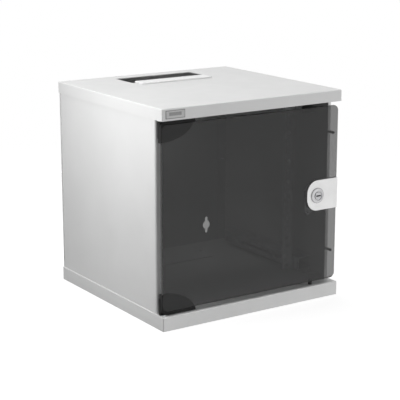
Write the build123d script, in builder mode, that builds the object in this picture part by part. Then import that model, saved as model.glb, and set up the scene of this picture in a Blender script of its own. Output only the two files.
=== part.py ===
from build123d import *
import os

os.makedirs("parts", exist_ok=True)

# Wall mount cabinet for 10-inch equipment, in millimetres.
# X runs to the right, Y from the door to the wall, Z up, from the middle of the footprint.

# Overall size
width = 312.0
depth = 300.0
height = 315.0
sheet = 1.2
overrun = 5.0

# Lid and base trays
lid_lip = 17.0
base_lip = 20.5
panel_gap = 0.3
slot_width = 138.0
slot_depth = 52.5
slot_corner = 2.0
slot_from_back = 24.0

# Body panels
front_setback = 20.6
front_flange = 7.0
back_flange = 16.0
end_flange = 14.0
flange_relief = 3.0
panel_bend = 3.0

# Wall-mount openings in the back panel
wall_hole_side_inset = 38.5
wall_hole_end_inset = 28.75
wall_hole_head_radius = 7.2
wall_hole_slot_width = 5.4
wall_hole_length = 28.0

# M4 studs, screws and nuts
stud_radius = 2.0
thread_gap = 0.05
stud_hole_gap = 0.25
stud_spare = 1.2
nut_sides = 6
nut_flats = 7.0
nut_height = 3.2
screw_head_radius = 3.8
screw_head_height = 1.3
screw_head_round = 0.5
screw_length = 6.0
flange_hole_inset = 8.0
end_stud_inset = 40.0

# 10-inch rack rails: holes at one pitch within a rack unit and a closer one across to the next
rack_hole_pitch = 15.875
rack_joint_pitch = 12.7
rack_holes_per_unit = 3
rack_hole_inset = 7.1375
rack_end_gap = 4.0
rail_side_space = 24.175
rack_hole_radius = 3.25
rail_sheet = 1.5
rail_bend = 2.0
rail_face_width = 18.0
rail_leg = 26.0
rail_setback = 77.0
rail_end_trim = 0.5

# Depth bars under the rails
bar_height = 20.0
bar_length = 200.0
bar_bend = 1.8
bar_end_gap = 15.0
bar_slot_travel = 120.0

# Tinted door pane
door_gap = 6.2
pane_inset = 2.4
pane_thickness = 4.0
pane_setback = 4.6
pane_corner = 8.0
pane_edge_round = 0.6

# Hinge corners, pins and washers
hinge_inset = 6.0
hinge_setback = 12.0
hinge_pin_radius = 2.5
hinge_fit = 0.05
pin_depth = 16.0
pin_head_radius = 4.0
pin_head_height = 1.5
pin_tip_chamfer = 0.6
washer_radius = 5.0
washer_thickness = 1.0
running_gap = 0.3
corner_width = 56.0
corner_height = 30.0
corner_plate = 3.0
corner_lead = 1.0
corner_wrap = 0.8
corner_bond = 0.2
knuckle_radius = 5.4
knuckle_width = 24.0
knuckle_gap = 1.6
knuckle_height = 24.0
knuckle_straight = 13.0
knuckle_taper = 6.0
knuckle_round = 1.6
bore_spare = 1.0
rib_thickness = 1.6
rib_height = 2.2
rib_pitch = 6.0
rib_count = 4
rim_width = 1.8
rim_height = 1.2

# Lock plate, bent over the pane's edge
lock_inset = 39.5
lock_plate_sheet = 1.2
lock_plate_width = 57.0
lock_plate_height = 46.0
lock_plate_corner = 19.0
lock_plate_bend = 1.2
lock_plate_play = 0.1
lock_plate_edge = 0.3

# Cam lock
lock_ring_radius = 11.5
lock_ring_height = 2.6
lock_ring_bevel = 1.7
lock_ring_bevel_width = 2.6
lock_ring_round = 0.4
lock_dish_radius = 7.3
lock_dish_depth = 1.1
lock_dish_round = 0.5
lock_barrel_radius = 8.0
lock_hole_gap = 0.3
plug_radius = 5.5
plug_fit = 0.05
plug_proud = 0.4
plug_round = 0.9
key_slot_length = 8.4
key_slot_width = 2.0
key_slot_depth = 7.0
lock_washer_radius = 11.0
lock_washer_thickness = 0.8
lock_nut_flats = 21.0
lock_nut_height = 4.0
lock_thread_gap = 0.05
cam_play = 2.2
cam_sheet = 2.0
cam_hub_radius = 9.0
cam_tip_radius = 6.5
cam_reach = 34.0
cam_side_gap = 0.2
tang_flats = 7.0
tang_fit = 0.05
cam_screw_head_radius = 5.0
cam_screw_head_height = 2.2
cam_screw_length = 8.0
cam_screw_radius = 2.0

# Door stops
bumper_radius = 2.0
bumper_round = 0.6
bumper_stem_radius = 1.2
bumper_barb_radius = 1.6
bumper_barb_height = 1.6
bumper_spacing = 181.0
stop_gap = 0.3
pad_inset = 44.0
pad_width = 4.0
pad_depth = 4.0
pad_height = 8.5
pad_round = 1.5

# Entry plate that slides on the lid
entry_width = 126.0
entry_depth = 25.0
entry_overlap = 4.0
entry_thickness = 2.0
entry_round = 0.6
entry_corner = 1.5
entry_travel = 14.0
entry_float = 0.2
entry_stud_inset = 3.6
entry_stud_side = 14.0
guide_gap = 0.2
nut_flange_radius = 4.6
nut_flange_height = 0.8

# Blanking plate in the base
blanking_border = 9.0
blanking_corner = 3.0

# Heights and faces worked out from the sizes above
front = -depth / 2
back = depth / 2
bend_radius = sheet + panel_gap
lid_bottom = height - lid_lip
lid_underside = height - sheet
opening_middle = (base_lip + lid_bottom) / 2
panel_x = width / 2 - sheet - panel_gap
panel_front = front + front_setback
panel_back = back - sheet - panel_gap
panel_rise = lid_underside - base_lip
back_sheet_front = panel_back - sheet
slot_y = back - slot_from_back - slot_depth / 2
stud_hole_radius = stud_radius + stud_hole_gap
nut_bore = stud_radius + thread_gap
end_hole_x = panel_x - flange_hole_inset
end_hole_front = panel_front + end_stud_inset
end_hole_back = panel_back - end_stud_inset

pane_front = front + pane_setback
pane_back = pane_front + pane_thickness
pane_width = width - 2 * pane_inset
pane_height = lid_bottom - base_lip - 2 * door_gap
hinge_x = -width / 2 + hinge_inset
hinge_y = front + hinge_setback
hinge_bore = hinge_pin_radius + hinge_fit

lock_x = width / 2 - lock_inset
lock_plate_front = pane_front - lock_plate_sheet
lock_plate_back = pane_back + lock_plate_sheet
lock_washer_back = lock_plate_back + lock_washer_thickness
cam_front = panel_front + sheet + cam_play
barrel_back = cam_front - cam_side_gap
tang_back = cam_front + cam_sheet

rail_y = front + rail_setback
rail_outer_x = panel_x - sheet - rail_side_space
rack_opening = 2 * (rail_outer_x - rail_face_width)
rack_hole_spacing = rack_opening + 2 * rack_hole_inset
rack_unit = (rack_holes_per_unit - 1) * rack_hole_pitch + rack_joint_pitch
rack_units = int((lid_bottom - base_lip - 2 * rack_end_gap) // rack_unit)
rack_rise = rack_units * rack_unit
rail_bottom = opening_middle - rack_rise / 2
bar_y = rail_y - bar_end_gap


def write(piece, name):
    """Label a finished piece and write its STEP file."""
    piece.part.label = name
    export_step(piece.part, f"parts/{name}.step")


def facing(y):
    """A plane at depth y that faces the door side, with X to the right and Z up."""
    return Plane.XZ.offset(-y)


def bent_strip(points, radius, thickness, side):
    """Section of a sheet that follows the points, with its thickness to one side of them."""
    with BuildSketch() as strip:
        with BuildLine():
            FilletPolyline(*points, radius=radius)
            offset(amount=thickness, side=side)
        make_face()
    return strip.sketch


def end_hole_places():
    """The four stud places where the side panels meet the lid and the base."""
    return [(x, y) for x in (-end_hole_x, end_hole_x) for y in (end_hole_front, end_hole_back)]


def nut_group(places, z, grow):
    """M4 nuts at the given places, from height z, upwards or downwards."""
    with BuildPart() as nuts:
        with BuildSketch(Plane.XY.offset(z)):
            with Locations(*places):
                RegularPolygon(nut_flats / 2, nut_sides, major_radius=False)
                Circle(nut_bore, mode=Mode.SUBTRACT)
        extrude(amount=grow * nut_height)
    return nuts


# Lid: a tray open below, with a return along its front lip that carries the hinge pin
guide_y = slot_y - slot_depth / 2 + entry_overlap - entry_depth + entry_stud_inset
guide_x = entry_width / 2 - entry_stud_side
with BuildPart() as lid:
    with BuildSketch(Plane.XY.offset(lid_bottom)):
        Rectangle(width, depth)
    extrude(amount=lid_lip)
    fillet(lid.edges().filter_by(Axis.Z), radius=bend_radius)
    fillet(lid.edges().group_by(Axis.Z)[-1], radius=bend_radius)
    offset(amount=-sheet, openings=lid.faces().sort_by(Axis.Z)[0])
    with BuildSketch(Plane.XY.offset(lid_bottom)):
        with Locations((0, front + sheet)):
            Rectangle(width - 2 * sheet, front_setback - sheet - panel_gap, align=(Align.CENTER, Align.MIN))
        with Locations((hinge_x, hinge_y)):
            Circle(hinge_bore, mode=Mode.SUBTRACT)
    extrude(amount=sheet)
    with BuildSketch(Plane.XY.offset(lid_underside)):
        with Locations(*end_hole_places()):
            Circle(stud_radius)
    extrude(amount=-(sheet + nut_height + stud_spare))
    with BuildSketch(Plane.XY.offset(height)):
        with Locations((0, slot_y)):
            RectangleRounded(slot_width, slot_depth, slot_corner)
        with Locations((-guide_x, guide_y + entry_travel / 2), (guide_x, guide_y + entry_travel / 2)):
            SlotCenterToCenter(entry_travel, 2 * (stud_radius + guide_gap), rotation=90)
    extrude(amount=-sheet, mode=Mode.SUBTRACT)
write(lid, "lid")

# Base: the same tray turned over, with its plate on top and its lips down to the wall's foot
blanking_hole_x = slot_width / 2 + blanking_border / 2
with BuildPart() as base:
    with BuildSketch():
        Rectangle(width, depth)
    extrude(amount=base_lip)
    fillet(base.edges().filter_by(Axis.Z), radius=bend_radius)
    fillet(base.edges().group_by(Axis.Z)[-1], radius=bend_radius)
    offset(amount=-sheet, openings=base.faces().sort_by(Axis.Z)[0])
    with BuildSketch(Plane.XY.offset(base_lip)):
        with Locations(*end_hole_places()):
            Circle(stud_radius)
    extrude(amount=sheet + nut_height + stud_spare)
    with BuildSketch(Plane.XY.offset(base_lip)):
        with Locations((0, slot_y)):
            RectangleRounded(slot_width, slot_depth, slot_corner)
        with Locations((-blanking_hole_x, slot_y), (blanking_hole_x, slot_y)):
            Circle(stud_hole_radius)
        with Locations((hinge_x, hinge_y)):
            Circle(hinge_bore)
    extrude(amount=-sheet, mode=Mode.SUBTRACT)
write(base, "base")

# Nuts that hold the side panels' end flanges on the studs
write(nut_group(end_hole_places(), lid_underside - sheet, -1), "lid_nuts")
write(nut_group(end_hole_places(), base_lip + sheet, 1), "base_nuts")

# Heights of the screws through the back panel, and of the door stops
back_screw_spacing = panel_rise / 3
back_screw_heights = [opening_middle + k * back_screw_spacing for k in (-1, 0, 1)]
bumper_heights = [opening_middle - bumper_spacing / 2, opening_middle + bumper_spacing / 2]
bumper_x = panel_x - (front_flange + panel_bend) / 2


def side_panel(side):
    """A panel bent round at the front and back, with flanges under the lid and on the base."""
    front_edge = (side * (panel_x - front_flange), panel_front)
    front_corner = (side * panel_x, panel_front)
    back_corner = (side * panel_x, back_sheet_front)
    back_edge = (side * (panel_x - back_flange), back_sheet_front)
    inward = Side.LEFT if side > 0 else Side.RIGHT
    flange_run = back_sheet_front - panel_front - 2 * (sheet + flange_relief)
    flange_x = side * (panel_x - end_flange / 2)
    with BuildPart() as panel:
        with BuildSketch(Plane.XY.offset(base_lip)):
            add(bent_strip([front_edge, front_corner, back_corner, back_edge], panel_bend, sheet, inward))
        extrude(amount=panel_rise)
        for z, grow in ((base_lip, 1), (lid_underside, -1)):
            with BuildSketch(Plane.XY.offset(z)):
                with Locations((flange_x, (panel_front + back_sheet_front) / 2)):
                    Rectangle(end_flange - sheet, flange_run)
                with Locations((side * end_hole_x, end_hole_front), (side * end_hole_x, end_hole_back)):
                    Circle(stud_hole_radius, mode=Mode.SUBTRACT)
            extrude(amount=grow * sheet)
        with BuildSketch(facing(back_sheet_front)):
            with Locations(*[(side * end_hole_x, z) for z in back_screw_heights]):
                Circle(nut_bore)
        extrude(amount=sheet, mode=Mode.SUBTRACT)
        if side > 0:
            with BuildSketch(facing(panel_front)):
                with Locations(*[(bumper_x, z) for z in bumper_heights]):
                    Circle(bumper_stem_radius + thread_gap)
            extrude(amount=-sheet, mode=Mode.SUBTRACT)
    return panel


write(side_panel(-1), "left_side_panel")
write(side_panel(1), "right_side_panel")

# Back panel, with a double keyhole at each corner so that the cabinet hangs either way up
with BuildPart() as back_panel:
    with BuildSketch(facing(panel_back)):
        with Locations((0, base_lip)):
            Rectangle(2 * panel_x, panel_rise, align=(Align.CENTER, Align.MIN))
        with Locations(*[(x, z) for x in (-end_hole_x, end_hole_x) for z in back_screw_heights]):
            Circle(nut_bore, mode=Mode.SUBTRACT)
    extrude(amount=sheet)
    with BuildSketch(facing(panel_back)):
        with Locations((0, opening_middle)):
            with GridLocations(2 * (panel_x - wall_hole_side_inset),
                               lid_bottom - base_lip - 2 * wall_hole_end_inset, 2, 2):
                Circle(wall_hole_head_radius)
                SlotOverall(wall_hole_length, wall_hole_slot_width, rotation=90)
    extrude(amount=sheet, mode=Mode.SUBTRACT)
write(back_panel, "back_panel")

with BuildPart() as back_screws:
    for x in (-end_hole_x, end_hole_x):
        for z in back_screw_heights:
            with BuildSketch(facing(panel_back)):
                with Locations((x, z)):
                    Circle(screw_head_radius)
            extrude(amount=-screw_head_height)
            fillet(back_screws.faces(Select.LAST).sort_by(Axis.Y)[-1].edges(), radius=screw_head_round)
            with BuildSketch(facing(panel_back)):
                with Locations((x, z)):
                    Circle(stud_radius)
            extrude(amount=screw_length)
write(back_screws, "back_screws")


def rail_heights():
    """Heights of the rack holes, three to each rack unit."""
    rise = [k * rack_hole_pitch for k in range(rack_holes_per_unit)]
    first = rail_bottom + rack_joint_pitch / 2
    return [first + unit * rack_unit + r for unit in range(rack_units) for r in rise]


bar_heights = {"upper": opening_middle + rack_rise / 2 - bar_height / 2 - sheet,
               "lower": opening_middle - rack_rise / 2 + bar_height / 2 + sheet}
rail_bolt_y = rail_y + rail_leg / 2


def rail(side):
    """An angle rail: its face carries the rack holes, its leg is bolted to the depth bars."""
    inner_edge = (side * rack_opening / 2, rail_y)
    corner = (side * rail_outer_x, rail_y)
    leg_end = (side * rail_outer_x, rail_y + rail_leg)
    inward = Side.LEFT if side > 0 else Side.RIGHT
    with BuildPart() as angle:
        with BuildSketch(Plane.XY.offset(rail_bottom + rail_end_trim)):
            add(bent_strip([inner_edge, corner, leg_end], rail_bend, rail_sheet, inward))
        extrude(amount=rack_rise - 2 * rail_end_trim)
        with BuildSketch(facing(rail_y)):
            with Locations(*[(side * rack_hole_spacing / 2, z) for z in rail_heights()]):
                Circle(rack_hole_radius)
        extrude(amount=-rail_sheet, mode=Mode.SUBTRACT)
        with BuildSketch(Plane.YZ.offset(side * rail_outer_x)):
            with Locations(*[(rail_bolt_y, z) for z in bar_heights.values()]):
                Circle(stud_hole_radius)
        extrude(amount=-side * rail_sheet, mode=Mode.SUBTRACT)
    return angle


write(rail(-1), "left_rail")
write(rail(1), "right_rail")


def depth_bar(side, middle):
    """A channel welded to the side panel, with a slot along it for the rail's bolt."""
    root_x = side * (panel_x - sheet)
    web_x = side * rail_outer_x
    low = middle - bar_height / 2
    high = middle + bar_height / 2
    inward = Side.RIGHT if side > 0 else Side.LEFT
    with BuildPart() as bar:
        with BuildSketch(facing(bar_y)):
            add(bent_strip([(root_x, low), (web_x, low), (web_x, high), (root_x, high)],
                           bar_bend, sheet, inward))
        extrude(amount=-bar_length)
        with BuildSketch(Plane.YZ.offset(web_x)):
            with Locations((rail_bolt_y + bar_slot_travel / 2, middle)):
                SlotCenterToCenter(bar_slot_travel, 2 * stud_hole_radius)
        extrude(amount=side * sheet, mode=Mode.SUBTRACT)
    return bar


for level, middle in bar_heights.items():
    write(depth_bar(-1, middle), f"left_{level}_bar")
    write(depth_bar(1, middle), f"right_{level}_bar")

# Screws and nuts where the rails' legs cross the depth bars
rail_grip = rail_sheet + sheet
with BuildPart() as rail_screws:
    for side in (-1, 1):
        for middle in bar_heights.values():
            with BuildSketch(Plane.YZ.offset(side * (rail_outer_x - rail_sheet))):
                with Locations((rail_bolt_y, middle)):
                    Circle(screw_head_radius)
            extrude(amount=-side * screw_head_height)
            head_faces = rail_screws.faces(Select.LAST).sort_by(Axis.X)
            fillet(head_faces[0 if side > 0 else -1].edges(), radius=screw_head_round)
            with BuildSketch(Plane.YZ.offset(side * (rail_outer_x - rail_sheet))):
                with Locations((rail_bolt_y, middle)):
                    Circle(stud_radius)
            extrude(amount=side * (rail_grip + nut_height + stud_spare))
write(rail_screws, "rail_screws")

with BuildPart() as rail_nuts:
    for side in (-1, 1):
        with BuildSketch(Plane.YZ.offset(side * (rail_outer_x + sheet))):
            with Locations(*[(rail_bolt_y, middle) for middle in bar_heights.values()]):
                RegularPolygon(nut_flats / 2, nut_sides, major_radius=False)
                Circle(nut_bore, mode=Mode.SUBTRACT)
        extrude(amount=side * nut_height)
write(rail_nuts, "rail_nuts")

# Entry plate: rounded plate with two welded studs that run in the lid's guide slots
entry_front = guide_y - entry_stud_inset
with BuildPart() as entry_plate:
    with BuildSketch(Plane.XY.offset(height + entry_float)):
        with Locations((0, entry_front + entry_depth / 2)):
            RectangleRounded(entry_width, entry_depth, entry_corner)
    extrude(amount=entry_thickness)
    fillet(entry_plate.faces().sort_by(Axis.Z)[-1].edges(), radius=entry_round)
    with BuildSketch(Plane.XY.offset(height + entry_float)):
        with Locations((-guide_x, guide_y), (guide_x, guide_y)):
            Circle(stud_radius)
    extrude(amount=-(sheet + 2 * entry_float + nut_flange_height + nut_height + stud_spare))
write(entry_plate, "entry_plate")

with BuildPart() as entry_nuts:
    with BuildSketch(Plane.XY.offset(lid_underside - entry_float)):
        with Locations((-guide_x, guide_y), (guide_x, guide_y)):
            Circle(nut_flange_radius)
            Circle(nut_bore, mode=Mode.SUBTRACT)
    extrude(amount=-nut_flange_height)
    with BuildSketch(Plane.XY.offset(lid_underside - entry_float - nut_flange_height)):
        with Locations((-guide_x, guide_y), (guide_x, guide_y)):
            RegularPolygon(nut_flats / 2, nut_sides, major_radius=False)
            Circle(nut_bore, mode=Mode.SUBTRACT)
    extrude(amount=-nut_height)
write(entry_nuts, "entry_nuts")

# Blanking plate over the base's cable slot, with its screws and nuts
blanking_places = [(-blanking_hole_x, slot_y), (blanking_hole_x, slot_y)]
with BuildPart() as blanking_plate:
    with BuildSketch(Plane.XY.offset(base_lip)):
        with Locations((0, slot_y)):
            RectangleRounded(slot_width + 2 * blanking_border, slot_depth + 2 * blanking_border,
                             blanking_corner)
        with Locations(*blanking_places):
            Circle(stud_hole_radius, mode=Mode.SUBTRACT)
    extrude(amount=sheet)
write(blanking_plate, "blanking_plate")

with BuildPart() as blanking_screws:
    with BuildSketch(Plane.XY.offset(base_lip + sheet)):
        with Locations(*blanking_places):
            Circle(screw_head_radius)
    extrude(amount=screw_head_height)
    fillet(blanking_screws.faces().sort_by(Axis.Z)[-2:].edges(), radius=screw_head_round)
    with BuildSketch(Plane.XY.offset(base_lip + sheet)):
        with Locations(*blanking_places):
            Circle(stud_radius)
    extrude(amount=-(2 * sheet + nut_height + stud_spare))
write(blanking_screws, "blanking_screws")
write(nut_group(blanking_places, base_lip - sheet, -1), "blanking_nuts")

# Door pane: tinted sheet with rounded corners and eased edges
pane_left = -pane_width / 2
pane_right = pane_width / 2
barrel_hole = lock_barrel_radius + lock_hole_gap


def pane_outline(grow):
    """Outline of the pane, grown all round, as a sketch in X and Z."""
    with BuildSketch() as outline:
        with Locations((0, opening_middle)):
            RectangleRounded(pane_width + 2 * grow, pane_height + 2 * grow, pane_corner + grow)
    return outline.sketch


with BuildPart() as door_pane:
    with BuildSketch(facing(pane_back)):
        add(pane_outline(0))
    extrude(amount=pane_thickness)
    fillet(door_pane.edges().group_by(Axis.Y)[0], radius=pane_edge_round)
    fillet(door_pane.edges().group_by(Axis.Y)[-1], radius=pane_edge_round)
    with BuildSketch(facing(pane_back)):
        with Locations((lock_x, opening_middle)):
            Circle(barrel_hole)
    extrude(amount=pane_thickness, mode=Mode.SUBTRACT)
write(door_pane, "door_pane")

# Hinge corner: a moulding bonded to the pane's corner. A ledge follows the pane's edge, a ribbed
# plate lies on its back, and a tapered knuckle behind the plate holds the pin.
corner_left = pane_left - corner_wrap
corner_bottom = base_lip + washer_thickness + running_gap
knuckle_back = panel_front - knuckle_gap
knuckle_end = hinge_x + knuckle_width
plate_back = pane_back + corner_plate
rib_length = corner_left + corner_width - knuckle_end


def corner_outline(inset=0):
    """Outline of the moulding in X and Z, drawn in all round: a quarter of an ellipse."""
    with BuildSketch() as outline:
        with Locations((corner_left, corner_bottom)):
            Ellipse(corner_width - inset, corner_height - inset)
        with Locations((corner_left + inset, corner_bottom + inset)):
            Rectangle(corner_width, corner_height, align=(Align.MIN, Align.MIN), mode=Mode.INTERSECT)
        outer = outline.vertices().group_by(Axis.Y)[0].sort_by(Axis.X)[0]
        fillet(outer, radius=pane_corner + corner_wrap - inset)
    return outline.sketch


with BuildPart() as lower_hinge_corner:
    with BuildSketch(facing(pane_back)):
        add(corner_outline())
    extrude(amount=-corner_plate)
    with BuildSketch(facing(pane_back)):
        add(corner_outline())
        add(pane_outline(corner_bond), mode=Mode.SUBTRACT)
    extrude(amount=pane_thickness - corner_lead)
    with BuildSketch(facing(plate_back)):
        add(corner_outline())
        add(corner_outline(rim_width), mode=Mode.SUBTRACT)
    extrude(amount=-rim_height)
    with BuildSketch(facing(plate_back)):
        with Locations((knuckle_end, corner_bottom + corner_height / 2)):
            with GridLocations(rib_pitch, rib_pitch, 1, rib_count):
                Rectangle(rib_length, rib_thickness, align=(Align.MIN, Align.CENTER))
        add(corner_outline(), mode=Mode.INTERSECT)
    extrude(amount=-rib_height)
    with BuildSketch(Plane.XY.offset(corner_bottom)):
        with BuildSketch(mode=Mode.PRIVATE) as plan:
            with Locations((hinge_x, hinge_y)):
                Circle(knuckle_radius)
            with Locations((hinge_x, pane_back)):
                Rectangle(knuckle_width, knuckle_back - pane_back, align=(Align.MIN, Align.MIN))
            make_hull()
            with Locations((hinge_x, pane_back)):
                Rectangle(width, knuckle_back - pane_back, align=(Align.CENTER, Align.MIN),
                          mode=Mode.INTERSECT)
            fillet(plan.vertices().group_by(Axis.X)[-1].sort_by(Axis.Y)[-1], radius=knuckle_round)
        add(plan.sketch)
    extrude(amount=knuckle_height)
    with BuildSketch(Plane.YZ):
        with BuildLine():
            Polyline((knuckle_back, corner_bottom + knuckle_straight),
                     (knuckle_back - knuckle_taper, corner_bottom + knuckle_height),
                     (knuckle_back + overrun, corner_bottom + knuckle_height + overrun),
                     (knuckle_back + overrun, corner_bottom + knuckle_straight),
                     close=True)
        make_face()
    extrude(amount=width, both=True, mode=Mode.SUBTRACT)
    with BuildSketch(Plane.XY.offset(corner_bottom)):
        with Locations((hinge_x, hinge_y)):
            Circle(hinge_bore)
    extrude(amount=pin_depth + bore_spare, mode=Mode.SUBTRACT)
write(lower_hinge_corner, "lower_hinge_corner")


def mirrored(piece):
    """The same piece at the other end of the door, mirrored about the opening's middle height."""
    with BuildPart() as copy:
        mirror(piece.part, about=Plane.XY.offset(opening_middle))
    return copy


write(mirrored(lower_hinge_corner), "upper_hinge_corner")

# Hinge pin, headed on the far side of the sheet, and the washer under the moulding
with BuildPart() as lower_hinge_pin:
    with BuildSketch(Plane.XY.offset(base_lip - sheet)):
        with Locations((hinge_x, hinge_y)):
            Circle(pin_head_radius)
    extrude(amount=-pin_head_height)
    fillet(lower_hinge_pin.edges().group_by(Axis.Z)[0], radius=pin_tip_chamfer)
    with BuildSketch(Plane.XY.offset(base_lip - sheet)):
        with Locations((hinge_x, hinge_y)):
            Circle(hinge_pin_radius)
    extrude(amount=corner_bottom + pin_depth - base_lip + sheet)
    chamfer(lower_hinge_pin.edges().group_by(Axis.Z)[-1], length=pin_tip_chamfer)
write(lower_hinge_pin, "lower_hinge_pin")
write(mirrored(lower_hinge_pin), "upper_hinge_pin")

with BuildPart() as lower_hinge_washer:
    with BuildSketch(Plane.XY.offset(base_lip)):
        with Locations((hinge_x, hinge_y)):
            Circle(washer_radius)
            Circle(hinge_bore, mode=Mode.SUBTRACT)
    extrude(amount=washer_thickness)
write(lower_hinge_washer, "lower_hinge_washer")
write(mirrored(lower_hinge_washer), "upper_hinge_washer")

# Lock plate: one sheet bent round the pane's edge, with two leaves of the same outline
plate_right = pane_right + lock_plate_play + lock_plate_sheet
with BuildPart() as lock_plate:
    with BuildSketch(facing(lock_plate_back)) as leaf:
        with Locations((plate_right, opening_middle)):
            Rectangle(lock_plate_width, lock_plate_height, align=(Align.MAX, Align.CENTER))
        fillet(leaf.vertices().group_by(Axis.X)[0], radius=lock_plate_corner)
    extrude(amount=lock_plate_back - lock_plate_front)
    fillet(lock_plate.faces().sort_by(Axis.X)[-1].edges().filter_by(Axis.Z), radius=lock_plate_bend)
    fillet(lock_plate.faces().sort_by(Axis.Y)[0].edges().group_by(Axis.X)[0], radius=lock_plate_edge)
    with BuildSketch(facing(pane_back)):
        with Locations((pane_right + lock_plate_play, opening_middle)):
            Rectangle(lock_plate_width, 2 * lock_plate_height, align=(Align.MAX, Align.CENTER))
    extrude(amount=pane_thickness, mode=Mode.SUBTRACT)
    with BuildSketch(facing(lock_plate_back)):
        with Locations((lock_x, opening_middle)):
            Circle(barrel_hole)
    extrude(amount=lock_plate_back - lock_plate_front, mode=Mode.SUBTRACT)
write(lock_plate, "lock_plate")


def lock_disc(y, radius):
    """A round section of the lock at depth y, as a sketch that faces the door side."""
    with BuildSketch(facing(y)) as disc:
        with Locations((lock_x, opening_middle)):
            Circle(radius)
    return disc.sketch


# Cam lock: ringed housing, washer and nut, turning plug with its key slot, cam and screw
lock_ring_front = lock_plate_front - lock_ring_height
plug_front = lock_ring_front - plug_proud
with BuildPart() as lock_body:
    extrude(lock_disc(lock_plate_front, lock_ring_radius), amount=lock_ring_height)
    chamfer(lock_body.edges().group_by(Axis.Y)[0], length=lock_ring_bevel_width, length2=lock_ring_bevel,
            reference=lock_body.faces().sort_by(Axis.Y)[0])
    extrude(lock_disc(lock_ring_front, lock_dish_radius), amount=-lock_dish_depth, mode=Mode.SUBTRACT)
    fillet(lock_body.edges().group_by(Axis.Y)[0].sort_by(SortBy.RADIUS)[-1], radius=lock_ring_round)
    fillet(lock_body.edges().group_by(Axis.Y)[0].sort_by(SortBy.RADIUS)[0], radius=lock_dish_round)
    extrude(lock_disc(lock_plate_front, lock_barrel_radius), amount=lock_plate_front - barrel_back)
    extrude(lock_disc(barrel_back, plug_radius + plug_fit), amount=barrel_back - plug_front,
            mode=Mode.SUBTRACT)
write(lock_body, "lock_body")

with BuildPart() as lock_washer:
    extrude(lock_disc(lock_washer_back, lock_washer_radius), amount=lock_washer_thickness)
    extrude(lock_disc(lock_washer_back, lock_barrel_radius + lock_thread_gap), amount=lock_washer_thickness,
            mode=Mode.SUBTRACT)
write(lock_washer, "lock_washer")

with BuildPart() as lock_nut:
    with BuildSketch(facing(lock_washer_back)):
        with Locations((lock_x, opening_middle)):
            RegularPolygon(lock_nut_flats / 2, nut_sides, major_radius=False)
            Circle(lock_barrel_radius + lock_thread_gap, mode=Mode.SUBTRACT)
    extrude(amount=-lock_nut_height)
write(lock_nut, "lock_nut")

with BuildPart() as lock_cylinder:
    extrude(lock_disc(cam_front, plug_radius), amount=cam_front - plug_front)
    fillet(lock_cylinder.edges().group_by(Axis.Y)[0], radius=plug_round)
    with BuildSketch(facing(cam_front)):
        with Locations((lock_x, opening_middle)):
            Rectangle(tang_flats, tang_flats)
    extrude(amount=cam_front - tang_back)
    with BuildSketch(facing(plug_front)):
        with Locations((lock_x, opening_middle)):
            Rectangle(key_slot_length, key_slot_width)
    extrude(amount=-key_slot_depth, mode=Mode.SUBTRACT)
    extrude(lock_disc(tang_back, cam_screw_radius + thread_gap), amount=cam_screw_length, mode=Mode.SUBTRACT)
write(lock_cylinder, "lock_cylinder")

# The cam hangs down at rest, unlocked; a quarter turn takes it behind the right front flange
with BuildPart() as lock_cam:
    with BuildSketch(facing(tang_back)):
        with BuildSketch(mode=Mode.PRIVATE) as arm:
            with Locations((lock_x, opening_middle)):
                Circle(cam_hub_radius)
            with Locations((lock_x, opening_middle - cam_reach + cam_tip_radius)):
                Circle(cam_tip_radius)
            make_hull()
        add(arm.sketch)
        with Locations((lock_x, opening_middle)):
            Rectangle(tang_flats + 2 * tang_fit, tang_flats + 2 * tang_fit, mode=Mode.SUBTRACT)
    extrude(amount=cam_sheet)
write(lock_cam, "lock_cam")

with BuildPart() as cam_screw:
    extrude(lock_disc(tang_back, cam_screw_head_radius), amount=-cam_screw_head_height)
    fillet(cam_screw.edges().group_by(Axis.Y)[-1], radius=screw_head_round)
    extrude(lock_disc(tang_back, cam_screw_radius), amount=cam_screw_length)
write(cam_screw, "cam_screw")

# Rubber door stops: a stem pushed through the front flange and a body that meets the pane
for z, name in zip(bumper_heights, ("lower_bumper", "upper_bumper")):
    with BuildPart() as bumper:
        with BuildSketch(facing(panel_front)):
            with Locations((bumper_x, z)):
                Circle(bumper_radius)
        extrude(amount=panel_front - pane_back - stop_gap)
        fillet(bumper.edges().group_by(Axis.Y)[0], radius=bumper_round)
        with BuildSketch(facing(panel_front)):
            with Locations((bumper_x, z)):
                Circle(bumper_stem_radius)
        extrude(amount=-sheet)
        with BuildSketch(facing(panel_front + sheet)):
            with Locations((bumper_x, z)):
                Circle(bumper_barb_radius)
        extrude(amount=-bumper_barb_height)
    write(bumper, name)

with BuildPart() as door_rest_pad:
    with BuildSketch(Plane.XY.offset(base_lip)):
        with Locations((width / 2 - pad_inset, pane_back + stop_gap)):
            Rectangle(pad_width, pad_depth, align=(Align.CENTER, Align.MIN))
    extrude(amount=pad_height)
    fillet(door_rest_pad.edges().group_by(Axis.Z)[-1].sort_by(Axis.Y)[-1], radius=pad_round)
write(door_rest_pad, "door_rest_pad")
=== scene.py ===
import math

import bmesh
import bpy
from mathutils import Matrix, Vector


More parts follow.
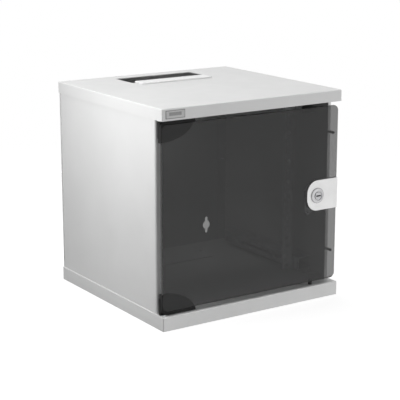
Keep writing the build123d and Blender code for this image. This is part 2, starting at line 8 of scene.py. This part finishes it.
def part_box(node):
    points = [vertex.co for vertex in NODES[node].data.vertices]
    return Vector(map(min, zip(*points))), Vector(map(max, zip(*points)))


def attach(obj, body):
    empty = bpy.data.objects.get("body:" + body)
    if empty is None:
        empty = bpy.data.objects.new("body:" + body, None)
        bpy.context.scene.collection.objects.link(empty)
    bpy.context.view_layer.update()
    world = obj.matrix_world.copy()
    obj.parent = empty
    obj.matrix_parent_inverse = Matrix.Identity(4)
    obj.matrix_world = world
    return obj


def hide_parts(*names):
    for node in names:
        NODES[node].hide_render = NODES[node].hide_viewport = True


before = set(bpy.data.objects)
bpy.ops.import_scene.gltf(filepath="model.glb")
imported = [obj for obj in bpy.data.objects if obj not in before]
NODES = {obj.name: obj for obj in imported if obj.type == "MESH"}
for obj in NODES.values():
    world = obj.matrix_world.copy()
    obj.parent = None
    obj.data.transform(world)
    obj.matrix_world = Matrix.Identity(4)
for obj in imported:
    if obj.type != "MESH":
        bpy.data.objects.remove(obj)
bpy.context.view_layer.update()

MM = 0.001


# Materials

def new_material(name, **values):
    """A material whose Principled shader has the given sockets set, written with underscores."""
    material = bpy.data.materials.new(name)
    material.use_nodes = True
    shader = material.node_tree.nodes["Principled BSDF"]
    for key, value in values.items():
        socket = shader.inputs[key.replace("_", " ")]
        socket.default_value = (value, value, value, 1.0) if socket.type == "RGBA" else value
    return material


def shader_of(material):
    return material.node_tree.nodes["Principled BSDF"]


def grey(level):
    return (level, level, level)


def noise(material, scale, detail=2.0, kind="ShaderNodeTexNoise"):
    """A noise or cell texture in the object's own metres, scale in features per metre."""
    tree = material.node_tree
    place = tree.nodes.new("ShaderNodeTexCoord")
    texture = tree.nodes.new(kind)
    texture.inputs["Scale"].default_value = scale
    texture.inputs["Detail"].default_value = detail
    tree.links.new(place.outputs["Object"], texture.inputs["Vector"])
    return texture.outputs[0]


NOISE_LOW, NOISE_HIGH = 0.3, 0.7  # a noise texture stays mostly between these


def vary_colour(material, factor, dark, light):
    """Base colour that moves between two colours with the factor."""
    tree = material.node_tree
    ramp = tree.nodes.new("ShaderNodeValToRGB")
    ends = ((NOISE_LOW, dark), (NOISE_HIGH, light))
    for element, (position, colour) in zip(ramp.color_ramp.elements, ends):
        element.position = position
        element.color = (*colour, 1.0)
    tree.links.new(factor, ramp.inputs["Fac"])
    tree.links.new(ramp.outputs["Color"], shader_of(material).inputs["Base Color"])


def vary_roughness(material, factor, low, high):
    """Roughness that moves between two values with the factor."""
    tree = material.node_tree
    spread = tree.nodes.new("ShaderNodeMapRange")
    ends = {"From Min": NOISE_LOW, "From Max": NOISE_HIGH, "To Min": low, "To Max": high}
    for socket, value in ends.items():
        spread.inputs[socket].default_value = value
    tree.links.new(factor, spread.inputs["Value"])
    tree.links.new(spread.outputs["Result"], shader_of(material).inputs["Roughness"])


def add_bump(material, height, depth):
    """Surface relief of about the given depth in metres."""
    tree = material.node_tree
    bump = tree.nodes.new("ShaderNodeBump")
    bump.inputs["Distance"].default_value = depth
    tree.links.new(height, bump.inputs["Height"])
    tree.links.new(bump.outputs["Normal"], shader_of(material).inputs["Normal"])


def powder_coat(name, dark, light):
    """Smooth powder-coated paint with a fine orange-peel surface."""
    paint = new_material(name, IOR=1.5)
    vary_colour(paint, noise(paint, scale=14.0, detail=3.0), dark, light)
    vary_roughness(paint, noise(paint, scale=45.0), low=0.38, high=0.46)
    add_bump(paint, noise(paint, scale=700.0, detail=1.0), depth=0.00002)
    return paint


def metal(name, dark, light, rough, cells=0.0, depth=0.00001, metallic=1.0):
    """Bare or plated metal, with crystal spangle where cells are given."""
    finish = new_material(name, Metallic=metallic)
    if cells:
        pattern = noise(finish, scale=cells, detail=0.0, kind="ShaderNodeTexVoronoi")
    else:
        pattern = noise(finish, scale=60.0, detail=3.0)
    vary_colour(finish, pattern, dark, light)
    vary_roughness(finish, noise(finish, scale=120.0, detail=3.0), *rough)
    add_bump(finish, noise(finish, scale=900.0), depth)
    return finish


def grained(name, dark, light, rough, scale, depth, **values):
    """Moulded plastic or rubber with a fine grain."""
    moulded = new_material(name, **values)
    vary_colour(moulded, noise(moulded, scale=40.0, detail=3.0), dark, light)
    vary_roughness(moulded, noise(moulded, scale=200.0), *rough)
    add_bump(moulded, noise(moulded, scale), depth)
    return moulded


def tinted_acrylic():
    """Smoke-tinted clear sheet: each face lets part of the light through, so two faces make the tint."""
    pane = new_material("tinted_pane", Base_Color=0.010, IOR=1.49, Alpha=0.580, Specular_IOR_Level=0.6)
    vary_roughness(pane, noise(pane, scale=9.0, detail=4.0), low=0.02, high=0.06)
    add_bump(pane, noise(pane, scale=3.0, detail=1.0), depth=0.00004)
    return pane


def change_behind(material, front, start, end, level):
    """Base colour that turns to a grey between two depths behind a front at this Y, in metres."""
    tree = material.node_tree
    place = tree.nodes.new("ShaderNodeTexCoord")
    split = tree.nodes.new("ShaderNodeSeparateXYZ")
    share = tree.nodes.new("ShaderNodeMapRange")
    share.inputs["From Min"].default_value = front + start
    share.inputs["From Max"].default_value = front + end
    blend = tree.nodes.new("ShaderNodeMix")
    blend.data_type = "RGBA"
    near_colour, far_colour, mixed_colour = blend.inputs[6], blend.inputs[7], blend.outputs[2]
    far_colour.default_value = (*grey(level), 1.0)
    base = shader_of(material).inputs["Base Color"]
    tree.links.new(place.outputs["Object"], split.inputs["Vector"])
    tree.links.new(split.outputs["Y"], share.inputs["Value"])
    tree.links.new(share.outputs["Result"], blend.inputs["Factor"])
    tree.links.new(base.links[0].from_socket, near_colour)
    tree.links.new(mixed_colour, base)


# Each finish has its darker and lighter colour and its lowest and highest roughness

SPANGLE = 150.0  # crystals per metre on galvanised sheet
POLISHED = 0.000004  # relief in metres
BADGE_GRAIN = {"scale": 1500.0, "depth": 0.000005}
RUBBER_LOOK = (grey(0.014), grey(0.024), (0.62, 0.74), 1500.0, 0.00002)

PAINT = powder_coat("light_grey_paint", (0.700, 0.702, 0.700), (0.730, 0.732, 0.730))
LOCK_STEEL = metal("satin_lock_plate", grey(0.70), grey(0.76), (0.44, 0.52))
# Painted light: the entry plate is a lighter copy of the body's powder coat, for the light that its
# raised top catches.
PLATE_PAINTED_LIGHT = powder_coat("entry_plate_painted_light", grey(0.840), grey(0.870))
# Painted shade: the dark rim of the lowest badge plate, round the frame, stands for the shadow in the
# groove there.
BADGE_SHADE_EDGE = grained("badge_painted_shade_edge", grey(0.17), grey(0.20), (0.46, 0.56), **BADGE_GRAIN)
BADGE_FRAME = grained("badge_frame", grey(0.54), grey(0.60), (0.38, 0.48), **BADGE_GRAIN)
BADGE_FIELD = grained("badge_field", grey(0.28), grey(0.33), (0.42, 0.52), **BADGE_GRAIN)
GALVANISED = metal("galvanised_steel", (0.50, 0.51, 0.52), (0.66, 0.67, 0.68), (0.34, 0.48),
                   cells=SPANGLE)
RAIL_ZINC = metal("matt_zinc_rail", (0.74, 0.75, 0.76), (0.86, 0.87, 0.88), (0.42, 0.54),
                  cells=SPANGLE, metallic=0.35)
ZINC = metal("zinc_plated_steel", (0.66, 0.67, 0.69), (0.76, 0.77, 0.79), (0.24, 0.34))
PIN_STEEL = metal("polished_steel", (0.62, 0.62, 0.63), (0.70, 0.70, 0.71), (0.16, 0.24))
CHROME = metal("chrome", (0.52, 0.52, 0.53), (0.60, 0.60, 0.61), (0.08, 0.14), depth=POLISHED)
# Painted shade: deeper than 0.8 mm behind the lock body's front the chrome turns dark grey, so its dish
# and hole show shaded.
change_behind(CHROME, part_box("lock_body")[0].y, start=0.0008, end=0.0022, level=0.16)
# Painted reflection and shade: the plug is a darker copy of the chrome, standing in for dark reflections
# on it, and it turns near black deeper than 0.4 mm behind its face, as painted shade in the keyway.
PLUG_CHROME_PAINTED_SHADE = metal("lock_plug_painted_shade", (0.46, 0.46, 0.47), (0.52, 0.52, 0.53), (0.14, 0.20),
                    depth=POLISHED)
change_behind(PLUG_CHROME_PAINTED_SHADE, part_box("lock_cylinder")[0].y, start=0.0004, end=0.0016, level=0.012)
PLASTIC = grained("black_plastic", grey(0.010), grey(0.016), (0.56, 0.66),
                  scale=2200.0, depth=0.00002, Specular_IOR_Level=0.15)
RUBBER = grained("black_rubber", *RUBBER_LOOK)
STOP_RUBBER = grained("stop_rubber", *RUBBER_LOOK)
change_behind(STOP_RUBBER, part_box("upper_bumper")[0].y, start=0.0012, end=0.0016, level=0.66)
NYLON = grained("white_nylon", (0.70, 0.70, 0.68), (0.76, 0.76, 0.74), (0.40, 0.50),
                scale=1200.0, depth=0.00001, Subsurface_Weight=0.1)
PANE = tinted_acrylic()
PANE_EDGE = grained("pane_edge", grey(0.008), grey(0.012), (0.20, 0.28),
                    scale=900.0, depth=0.000003, Specular_IOR_Level=0.3)

FINISHES = {
    PAINT: ("lid", "base", "left_side_panel", "right_side_panel", "back_panel", "blanking_plate"),
    PLATE_PAINTED_LIGHT: ("entry_plate",),
    LOCK_STEEL: ("lock_plate",),
    RAIL_ZINC: ("left_rail", "right_rail"),
    GALVANISED: ("left_upper_bar", "left_lower_bar", "right_upper_bar", "right_lower_bar"),
    ZINC: ("rail_screws", "rail_nuts", "lid_nuts", "base_nuts", "back_screws", "blanking_screws",
           "blanking_nuts", "entry_nuts", "lock_washer", "lock_nut", "lock_cam", "cam_screw"),
    PIN_STEEL: ("upper_hinge_pin", "lower_hinge_pin"),
    CHROME: ("lock_body",),
    PLUG_CHROME_PAINTED_SHADE: ("lock_cylinder",),
    PLASTIC: ("upper_hinge_corner", "lower_hinge_corner"),
    RUBBER: ("door_rest_pad",),
    STOP_RUBBER: ("upper_bumper", "lower_bumper"),
    NYLON: ("upper_hinge_washer", "lower_hinge_washer"),
    PANE: ("door_pane",),
}
for finish, names in FINISHES.items():
    for name in names:
        mesh = NODES[name].data
        mesh.materials.clear()
        mesh.materials.append(finish)


# Mesh helpers: shapes are made about +Z at the origin, in millimetres, and then set in place

def as_mesh(shape, name):
    mesh = bpy.data.meshes.new(name)
    bmesh.ops.recalc_face_normals(shape, faces=shape.faces)
    shape.to_mesh(mesh)
    shape.free()
    return mesh


def stacked(outlines, name):
    """A closed solid through rings of points with as many points each, from the lowest ring up."""
    shape = bmesh.new()
    rings = [[shape.verts.new(point) for point in outline] for outline in outlines]
    for low_ring, high_ring in zip(rings, rings[1:]):
        for k in range(len(low_ring)):
            after = (k + 1) % len(low_ring)
            shape.faces.new((low_ring[k], low_ring[after], high_ring[after], high_ring[k]))
    shape.faces.new(list(reversed(rings[0])))
    shape.faces.new(rings[-1])
    return as_mesh(shape, name)


LATHE_SEGMENTS = 40


def lathe(profile):
    """A closed solid turned from (radius, height) points, listed from its lower to its upper end."""
    turns = [2.0 * math.pi * k / LATHE_SEGMENTS for k in range(LATHE_SEGMENTS)]
    outlines = [[(radius * math.cos(a), radius * math.sin(a), height) for a in turns]
                for radius, height in profile]
    return stacked(outlines, "turned")


def prism(points, low_z, high_z, taper=1.0):
    """A straight or tapered prism over a flat outline."""
    bottom = [(x * taper, y * taper, low_z) for x, y in points]
    top = [(x, y, high_z) for x, y in points]
    return stacked([bottom, top], "prism")


def combined(mesh, other, operation):
    """The mesh after an exact boolean with the other one."""
    first = bpy.data.objects.new("first", mesh)
    second = bpy.data.objects.new("second", other)
    for part in (first, second):
        bpy.context.scene.collection.objects.link(part)
    cut = first.modifiers.new("cut", "BOOLEAN")
    cut.operation = operation
    cut.object = second
    cut.solver = "EXACT"
    graph = bpy.context.evaluated_depsgraph_get()
    result = bpy.data.meshes.new_from_object(first.evaluated_get(graph))
    for part in (first, second):
        bpy.data.objects.remove(part)
    return result


def cross_outline(arm, half):
    """Outline of a plus sign with arms of the given reach and half width."""
    quarter = [(arm, -half), (arm, half), (half, half)]
    outline = []
    for c, s in ((1, 0), (0, 1), (-1, 0), (0, -1)):
        outline += [(c * x - s * y, s * x + c * y) for x, y in quarter]
    return outline


def threaded(radius, low_z, high_z, pitch=0.7, depth=0.25):
    """Profile points of a thread, drawn as close rings."""
    count = int((high_z - low_z) / pitch)
    step = (high_z - low_z) / count
    points = [(radius - depth, low_z)]
    for k in range(count):
        base = low_z + k * step
        crest = [(radius, base + 0.45 * step), (radius, base + 0.55 * step)]
        points += crest + [(radius - depth, base + step)]
    return points


def pan_screw(head_radius, head_height, stem_radius, stem_length):
    """Pan-head screw with its seat at z 0, head upwards, threaded stem downwards and a cross recess."""
    tip_length = 0.5
    stem = threaded(stem_radius, -stem_length + tip_length, 0.0)
    dome = []
    for share in (0.0, 0.35, 0.6, 0.8, 0.93):
        dome.append((head_radius * math.sqrt(1.0 - share ** 2.6), head_height * (0.25 + 0.75 * share)))
    profile = [(stem_radius * 0.6, -stem_length)] + stem + [(head_radius, 0.0)] + dome
    profile.append((0.1 * head_radius, head_height))
    recess_depth, recess_spare = 1.0, 0.5
    cross = cross_outline(0.52 * head_radius, 0.12 * head_radius)
    recess = prism(cross, head_height - recess_depth, head_height + recess_spare, taper=0.7)
    return combined(lathe(profile), recess, "DIFFERENCE")


def hex_nut(flats, height, bore):
    """Hexagonal nut from z 0 upwards, with chamfered corners and a threaded bore."""
    reach = flats / math.sqrt(3.0)
    outline = [(reach * math.cos(math.radians(60 * k)), reach * math.sin(math.radians(60 * k)))
               for k in range(6)]
    face_radius = 0.97 * flats / 2
    edge = 0.42 * (reach - flats / 2)
    trim = lathe([(face_radius, 0.0), (reach, edge), (reach, height - edge), (face_radius, height)])
    body = combined(prism(outline, 0.0, height), trim, "INTERSECT")
    mouth, lead, spare, thread_depth = bore + 0.45, 0.35, 0.1, 0.2
    thread = threaded(bore + thread_depth, lead, height - lead, depth=thread_depth)
    drill = [(mouth, -spare), (mouth, 0.0)] + thread + [(mouth, height), (mouth, height + spare)]
    return combined(body, lathe(drill), "DIFFERENCE")


def aimed(direction):
    """Rotation that turns +Z to one of the axes."""
    return Vector((0.0, 0.0, 1.0)).rotation_difference(Vector(direction)).to_matrix().to_4x4()


SMOOTH_ANGLE = math.radians(35.0)


def set_pieces(name, mesh, places, direction, finish, body, *replaced, spin=0.0):
    """Copies of a millimetre mesh at metre places, joined into one piece that rides on a body.

    Each copy is turned by the spin, in degrees, from the one before it.
    """
    joined = bmesh.new()
    for k, place in enumerate(places):
        copy = mesh.copy()
        turn = Matrix.Rotation(math.radians(spin * (k + 1)), 4, "Z")
        copy.transform(Matrix.Translation(place) @ aimed(direction) @ turn @ Matrix.Scale(MM, 4))
        joined.from_mesh(copy)
        bpy.data.meshes.remove(copy)
    whole = bpy.data.meshes.new(name)
    joined.to_mesh(whole)
    joined.free()
    whole.materials.append(finish)
    piece = bpy.data.objects.new(name, whole)
    bpy.context.scene.collection.objects.link(piece)
    whole.shade_smooth()
    whole.set_sharp_from_angle(angle=SMOOTH_ANGLE)
    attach(piece, body)
    if replaced:
        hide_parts(*replaced)


def solids_of(node):
    """Boxes of the separate solids of a CAD node, in metres, as (lowest, highest) corners."""
    same_spot = 1e-6
    shape = bmesh.new()
    shape.from_mesh(NODES[node].data)
    bmesh.ops.remove_doubles(shape, verts=shape.verts, dist=same_spot)
    shape.verts.ensure_lookup_table()
    seen = set()
    boxes = []
    for start in shape.verts:
        if start.index in seen:
            continue
        seen.add(start.index)
        group = [start]
        for vert in group:
            for edge in vert.link_edges:
                other = edge.other_vert(vert)
                if other.index not in seen:
                    seen.add(other.index)
                    group.append(other)
        spots = [vert.co for vert in group]
        boxes.append((Vector([min(c[k] for c in spots) for k in range(3)]),
                      Vector([max(c[k] for c in spots) for k in range(3)])))
    shape.free()
    return boxes


LOW, HIGH = 0, 1
AXES = {"X": 0, "Y": 1, "Z": 2}


def end_of(box, axis, end, inset=0.0):
    """The middle of the low or high end face of a box, moved into the box by millimetres."""
    middle = (box[0] + box[1]) / 2
    middle[AXES[axis]] = box[end][AXES[axis]] + (inset if end == LOW else -inset) * MM
    return middle


# Fasteners: screws with cross recesses and chamfered nuts in place of the plain solids

RIGHT, FRONT, BACK, UP = (1.0, 0.0, 0.0), (0.0, -1.0, 0.0), (0.0, 1.0, 0.0), (0.0, 0.0, 1.0)
M4_RADIUS = 2.0
HEAD_RADIUS, HEAD_HEIGHT = 3.8, 1.3
CAM_HEAD_RADIUS, CAM_HEAD_HEIGHT = 5.0, 2.2
HEAD_SPIN = 37.0

back_screw = pan_screw(HEAD_RADIUS, HEAD_HEIGHT, M4_RADIUS, stem_length=6.0)
back_seats = [end_of(box, "Y", HIGH, HEAD_HEIGHT) for box in solids_of("back_screws")]
set_pieces("back_panel_screws", back_screw, back_seats, BACK, ZINC, "cabinet", "back_screws",
           spin=HEAD_SPIN)

blanking_screw = pan_screw(HEAD_RADIUS, HEAD_HEIGHT, M4_RADIUS, stem_length=6.8)
blanking_seats = [end_of(box, "Z", HIGH, HEAD_HEIGHT) for box in solids_of("blanking_screws")]
set_pieces("blanking_plate_screws", blanking_screw, blanking_seats, UP, ZINC, "cabinet",
           "blanking_screws", spin=HEAD_SPIN)

rail_screw = pan_screw(HEAD_RADIUS, HEAD_HEIGHT, M4_RADIUS, stem_length=7.1)
for word, side, inner_end in (("left", -1.0, HIGH), ("right", 1.0, LOW)):
    boxes = [box for box in solids_of("rail_screws") if box[0].x * side > 0.0]
    seats = [end_of(box, "X", inner_end, HEAD_HEIGHT) for box in boxes]
    set_pieces(word + "_rail_screws", rail_screw, seats, (-side, 0.0, 0.0), ZINC, "cabinet",
               "rail_screws", spin=HEAD_SPIN)

cam_screw = pan_screw(CAM_HEAD_RADIUS, CAM_HEAD_HEIGHT, M4_RADIUS, stem_length=8.0)
cam_seats = [end_of(box, "Y", HIGH, CAM_HEAD_HEIGHT) for box in solids_of("cam_screw")]
set_pieces("cam_fixing_screw", cam_screw, cam_seats, BACK, ZINC, "lock", "cam_screw", spin=20.0)

m4_nut = hex_nut(flats=7.0, height=3.2, bore=2.05)
for node in ("lid_nuts", "base_nuts", "blanking_nuts"):
    seats = [end_of(box, "Z", LOW) for box in solids_of(node)]
    set_pieces(node.replace("nuts", "hex_nuts"), m4_nut, seats, UP, ZINC, "cabinet", node)
rail_nut_seats = [end_of(box, "X", LOW) for box in solids_of("rail_nuts")]
set_pieces("rail_hex_nuts", m4_nut, rail_nut_seats, RIGHT, ZINC, "cabinet", "rail_nuts")

lock_nut = hex_nut(flats=21.0, height=4.0, bore=8.05)
lock_nut_seats = [end_of(box, "Y", LOW) for box in solids_of("lock_nut")]
set_pieces("lock_hex_nut", lock_nut, lock_nut_seats, BACK, ZINC, "door", "lock_nut")


# Dark edge of the tinted sheet: light that enters it along the sheet is soaked up on its way through

def darken_edges(node, finish, hole, hole_radius):
    """A second finish on an upright sheet's narrow faces, but not in its hole or on its free edge."""
    mesh = NODES[node].data
    mesh.materials.append(finish)
    for face in mesh.polygons:
        narrow = abs(face.normal.y) < 0.6
        free_edge = face.normal.x >= 0.5
        in_hole = math.hypot(face.center.x - hole.x, face.center.z - hole.z) <= hole_radius
        if narrow and not free_edge and not in_hole:
            face.material_index = len(mesh.materials) - 1


lock_middle = (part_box("lock_cylinder")[0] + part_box("lock_cylinder")[1]) / 2
darken_edges("door_pane", PANE_EDGE, lock_middle, hole_radius=0.012)


# Badge: bare plates one on the other, where the photograph shows a maker's one

def bordered_plate(width, height, thick, border, sink):
    """A flat plate from z 0 up, with its field sunk inside a border."""
    ease = 0.25 * thick
    rows = [(0.0, 0.0), (0.0, thick - ease), (ease, thick), (border, thick),
            (border + ease, thick - sink)]
    outlines = []
    for inset, z in rows:
        x, y = width / 2 - inset, height / 2 - inset
        outlines.append([(-x, -y, z), (x, -y, z), (x, y, z), (-x, y, z)])
    return stacked(outlines, "bordered_plate")


badge_place = Vector((-0.1345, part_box("lid")[0].y, 0.3065))
field_rise = Vector((0.0, 0.0, 0.0006))
badge_plate = bordered_plate(31.0, 11.4, 0.3, border=0.6, sink=0.1)
badge_frame = bordered_plate(29.4, 9.8, 0.5, border=1.2, sink=0.2)
badge_field = bordered_plate(19.6, 4.8, 0.45, border=0.5, sink=0.1)
# Painted shade: this plate's dark rim round the frame stands for the shadow in the groove around the
# badge.
set_pieces("badge_plate", badge_plate, [badge_place], FRONT, BADGE_SHADE_EDGE, "cabinet")
set_pieces("badge_frame", badge_frame, [badge_place], FRONT, BADGE_FRAME, "cabinet")
set_pieces("badge_field", badge_field, [badge_place + field_rise], FRONT, BADGE_FIELD, "cabinet")


# Stage: pale floor, white surroundings, soft lamps

def seen_rays(tree):
    """1 for rays that show the background itself: camera, mirror and see-through rays."""
    path = tree.nodes.new("ShaderNodeLightPath")
    seen = path.outputs["Is Camera Ray"]
    for ray in ("Is Glossy Ray", "Is Transmission Ray"):
        either = tree.nodes.new("ShaderNodeMath")
        either.operation = "MAXIMUM"
        tree.links.new(seen, either.inputs[0])
        tree.links.new(path.outputs[ray], either.inputs[1])
        seen = either.outputs[0]
    return seen


def make_world(light_level):
    """Dim white light on the object, and full white where the background itself is seen."""
    world = bpy.data.worlds.new("surroundings")
    bpy.context.scene.world = world
    world.use_nodes = True
    tree = world.node_tree
    light = tree.nodes["Background"]
    white = tree.nodes.new("ShaderNodeBackground")
    for background, strength in ((light, light_level), (white, 1.0)):
        background.inputs["Color"].default_value = (1.0, 1.0, 1.0, 1.0)
        background.inputs["Strength"].default_value = strength
    mix = tree.nodes.new("ShaderNodeMixShader")
    tree.links.new(seen_rays(tree), mix.inputs["Fac"])
    tree.links.new(light.outputs["Background"], mix.inputs[1])
    tree.links.new(white.outputs["Background"], mix.inputs[2])
    tree.links.new(mix.outputs["Shader"], tree.nodes["World Output"].inputs["Surface"])


FLOOR_GAP = 0.0003
FADE_START, FADE_END = 0.35, 0.95  # shares of the floor's radius


def make_floor(radius, level, lift):
    """A round pale floor that keeps the shadow and fades into the white surroundings."""
    mesh = bpy.data.meshes.new("floor")
    shape = bmesh.new()
    bmesh.ops.create_circle(shape, cap_ends=True, segments=96, radius=radius)
    shape.to_mesh(mesh)
    shape.free()
    floor = bpy.data.objects.new("floor", mesh)
    floor.location.z = -FLOOR_GAP
    bpy.context.scene.collection.objects.link(floor)
    mesh.materials.append(floor_material(radius, level, lift))


def floor_material(radius, level, lift):
    """A matt grey that turns clear towards the rim.

    The lift brightens it for the rays that show the background, and puts no light on the object.
    """
    material = bpy.data.materials.new("pale_floor")
    material.use_nodes = True
    tree = material.node_tree
    tree.nodes.remove(tree.nodes["Principled BSDF"])
    matt = tree.nodes.new("ShaderNodeBsdfDiffuse")
    matt.inputs["Color"].default_value = (*grey(level), 1.0)
    glow = tree.nodes.new("ShaderNodeEmission")
    strength = tree.nodes.new("ShaderNodeMath")
    strength.operation = "MULTIPLY"
    strength.inputs[1].default_value = lift
    tree.links.new(seen_rays(tree), strength.inputs[0])
    tree.links.new(strength.outputs[0], glow.inputs["Strength"])
    both = tree.nodes.new("ShaderNodeAddShader")
    tree.links.new(matt.outputs[0], both.inputs[0])
    tree.links.new(glow.outputs[0], both.inputs[1])
    clear = tree.nodes.new("ShaderNodeBsdfTransparent")
    place = tree.nodes.new("ShaderNodeTexCoord")
    away = tree.nodes.new("ShaderNodeVectorMath")
    away.operation = "LENGTH"
    fade = tree.nodes.new("ShaderNodeMapRange")
    fade.interpolation_type = "SMOOTHSTEP"
    fade.inputs["From Min"].default_value = radius * FADE_START
    fade.inputs["From Max"].default_value = radius * FADE_END
    mix = tree.nodes.new("ShaderNodeMixShader")
    tree.links.new(place.outputs["Object"], away.inputs[0])
    tree.links.new(away.outputs["Value"], fade.inputs["Value"])
    tree.links.new(fade.outputs["Result"], mix.inputs["Fac"])
    tree.links.new(both.outputs[0], mix.inputs[1])
    tree.links.new(clear.outputs[0], mix.inputs[2])
    tree.links.new(mix.outputs[0], tree.nodes["Material Output"].inputs["Surface"])
    return material


def add_lamp(name, place, target, width, height, power, mirrored=True):
    """A soft lamp aimed at a target; one that isn't mirrored leaves no bright patch on metal."""
    data = bpy.data.lights.new(name, "AREA")
    data.shape = "RECTANGLE"
    data.size = width
    data.size_y = height
    data.energy = power
    lamp = bpy.data.objects.new(name, data)
    lamp.location = place
    lamp.visible_glossy = mirrored
    lamp.rotation_euler = (Vector(target) - Vector(place)).to_track_quat("-Z", "Y").to_euler()
    bpy.context.scene.collection.objects.link(lamp)


def add_camera(place, yaw, pitch, lens):
    """A camera turned from the front to the right by the yaw and down by the pitch, in degrees."""
    data = bpy.data.cameras.new("camera")
    data.sensor_width = 36.0
    data.lens = lens
    camera = bpy.data.objects.new("camera", data)
    camera.location = place
    camera.rotation_euler = (math.radians(90.0 - pitch), 0.0, -math.radians(yaw))
    bpy.context.scene.collection.objects.link(camera)
    bpy.context.scene.camera = camera


make_world(light_level=0.10)
make_floor(radius=1.3, level=0.42, lift=0.76)
add_lamp("key_left", place=(-0.46, -0.06, 0.37), target=(-0.156, -0.06, 0.29),
         width=0.30, height=0.10, power=1.13)
add_lamp("top", place=(-0.20, 0.00, 1.60), target=(0.0, 0.0, 0.3),
         width=1.2, height=1.2, power=15.8)
add_lamp("front_low", place=(3.40, -2.10, 0.22), target=(0.0, -0.15, 0.18),
         width=1.0, height=0.30, power=138.0, mirrored=False)
add_lamp("back_right", place=(1.40, 1.50, 0.60), target=(0.1, 0.1, 0.15),
         width=1.2, height=1.0, power=6.5, mirrored=False)
add_lamp("back_low", place=(0.20, 2.40, 0.25), target=(0.0, 0.15, 0.16),
         width=1.2, height=0.4, power=24.0, mirrored=False)
add_camera(place=(-1.0405, -1.5735, 0.6032), yaw=33.602, pitch=13.849, lens=114.17)
bpy.context.scene.view_settings.view_transform = "Standard"
